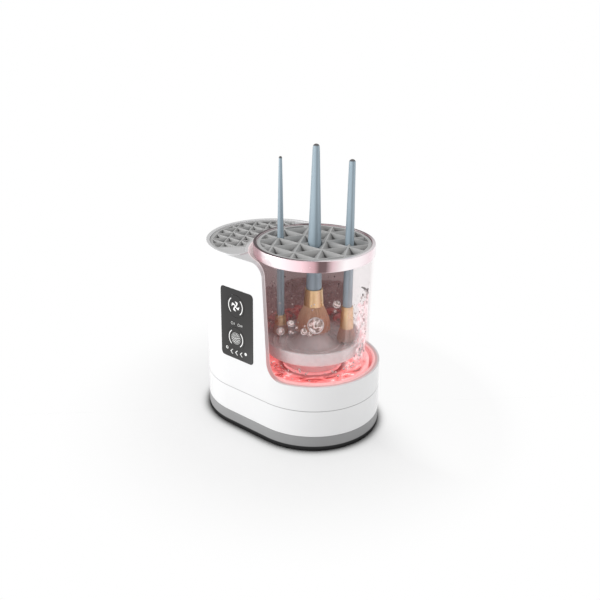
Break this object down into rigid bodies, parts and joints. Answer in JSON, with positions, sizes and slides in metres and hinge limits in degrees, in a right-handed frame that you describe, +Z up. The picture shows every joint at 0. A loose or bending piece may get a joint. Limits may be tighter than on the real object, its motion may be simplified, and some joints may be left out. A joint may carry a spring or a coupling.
{
  "type": "cosmetic brush cleaner",
  "caption": "Powered washer and dryer for cosmetic brushes: a clear wash cup with a spinning dish beside a warm-air drying tower, both topped with holder grids.",
  "frame": {"origin": "centre of the slot-shaped footprint, on the table plane under the feet", "axes": "+Z up; +X from the drying tower towards the wash cup, along the footprint's long side; the control panel faces -Y"},
  "size_m": [0.1562, 0.1122, 0.232],
  "materials": {
    "white_gloss": "gloss moulded",
    "base_grey": "satin moulded",
    "black_base": "matt moulded",
    "rubber_black": "matt",
    "well_pink": "gloss moulded, pink-lit",
    "silicone_grey": "satin silicone",
    "inner_white": "matt moulded",
    "inner_black": "matt moulded",
    "heater_metal": "plain",
    "panel_glass": "gloss",
    "pcb": "solder mask",
    "component_black": "matt",
    "steel": "ground",
    "wire_rubber": "extruded",
    "bronze": "sintered",
    "acetal": "satin",
    "motor_steel": "plated",
    "brass_gear": "machined",
    "clear_cup": "clear, polished",
    "rose_gold": "rose-gold plated",
    "dish_white": "translucent white",
    "handle_blue": "satin lacquer",
    "ferrule_gold": "satin",
    "bristle_tan": "filament"
  },
  "bodies": {
    "housing": {"main_shell": "white_gloss", "lower_shell": "white_gloss", "base_skirt": "base_grey", "bottom_cover": "black_base", "rubber_feet": "rubber_black", "cup_well": "well_pink", "drying_tray": "white_gloss", "drying_duct": "inner_white", "heater_housing": "inner_black", "heater_block": "heater_metal", "fan_frame": "inner_black", "control_panel": "panel_glass", "control_board": "pcb", "board_components": "component_black", "tact_switches": "component_black", "power_board": "pcb", "power_components": "component_black", "power_socket": "steel", "socket_board": "pcb", "wiring": "wire_rubber", "output_bearings": "bronze", "shaft_seal": "rubber_black", "gearbox_plate": "inner_black", "motor_can": "motor_steel", "motor_screws": "steel", "gearbox_screws": "steel", "base_screws": "steel", "fan_screws": "steel", "board_screws": "steel"},
    "fan": {"fan_rotor": "inner_black"},
    "drying_lid": {"drying_grid": "silicone_grey"},
    "dry_button": {"dry_key": "panel_glass"},
    "wash_button": {"wash_key": "panel_glass"},
    "drive": {"drive_gear": "acetal", "output_shaft": "steel", "drive_coupler": "acetal"},
    "pinion": {"motor_shaft": "steel", "motor_pinion": "brass_gear"},
    "cup": {"wash_cup": "clear_cup", "cup_ring": "rose_gold", "spindle_bush": "bronze", "spindle_seal": "rubber_black"},
    "dish": {"cleaning_dish": "dish_white", "spindle": "steel", "cup_coupler": "acetal"},
    "grid": {"brush_grid": "silicone_grey"},
    "brush_left": {"brush_left_handle": "handle_blue", "brush_left_ferrule": "ferrule_gold", "brush_left_bristles": "bristle_tan"},
    "brush_centre": {"brush_centre_handle": "handle_blue", "brush_centre_ferrule": "ferrule_gold", "brush_centre_bristles": "bristle_tan"},
    "brush_right": {"brush_right_handle": "handle_blue", "brush_right_ferrule": "ferrule_gold", "brush_right_bristles": "bristle_tan"}
  },
  "joints": [
    {"name": "cup_lift", "type": "slide", "parent": "housing", "child": "cup", "axis": [0, 0, 1], "range_m": [0, 0.125]},
    {"name": "grid_lift", "type": "slide", "parent": "cup", "child": "grid", "axis": [0, 0, 1], "range_m": [0, 0.12]},
    {"name": "brush_left_slide", "type": "slide", "parent": "grid", "child": "brush_left", "axis": [0, 0, 1], "range_m": [0, 0.01]},
    {"name": "brush_centre_slide", "type": "slide", "parent": "grid", "child": "brush_centre", "axis": [0, 0, 1], "range_m": [0, 0.01]},
    {"name": "brush_right_slide", "type": "slide", "parent": "grid", "child": "brush_right", "axis": [0, 0, 1], "range_m": [0, 0.01]},
    {"name": "drying_grid_lift", "type": "slide", "parent": "housing", "child": "drying_lid", "axis": [0, 0, 1], "range_m": [0, 0.03]},
    {"name": "dry_key_press", "type": "slide", "parent": "housing", "child": "dry_button", "axis": [0, 1, 0], "range_m": [0, 0.0005]},
    {"name": "wash_key_press", "type": "slide", "parent": "housing", "child": "wash_button", "axis": [0, 1, 0], "range_m": [0, 0.0005]},
    {"name": "drive_spin", "type": "hinge", "parent": "housing", "child": "drive", "pos_m": [0.022, 0, 0.033], "axis": [0, 0, 1], "continuous": true},
    {"name": "pinion_spin", "type": "hinge", "parent": "housing", "child": "pinion", "pos_m": [-0.002, 0, 0.033], "axis": [0, 0, 1], "continuous": true},
    {"name": "dish_spin", "type": "hinge", "parent": "cup", "child": "dish", "pos_m": [0.022, 0, 0.06], "axis": [0, 0, 1], "continuous": true},
    {"name": "fan_spin", "type": "hinge", "parent": "housing", "child": "fan", "pos_m": [-0.0506, 0, 0.047], "axis": [0, 0, 1], "continuous": true}
  ],
  "couplings": [
    {"joint": "pinion_spin", "follows": "drive_spin", "ratio": -3.2857},
    {"joint": "dish_spin", "follows": "drive_spin", "ratio": 1}
  ]
}
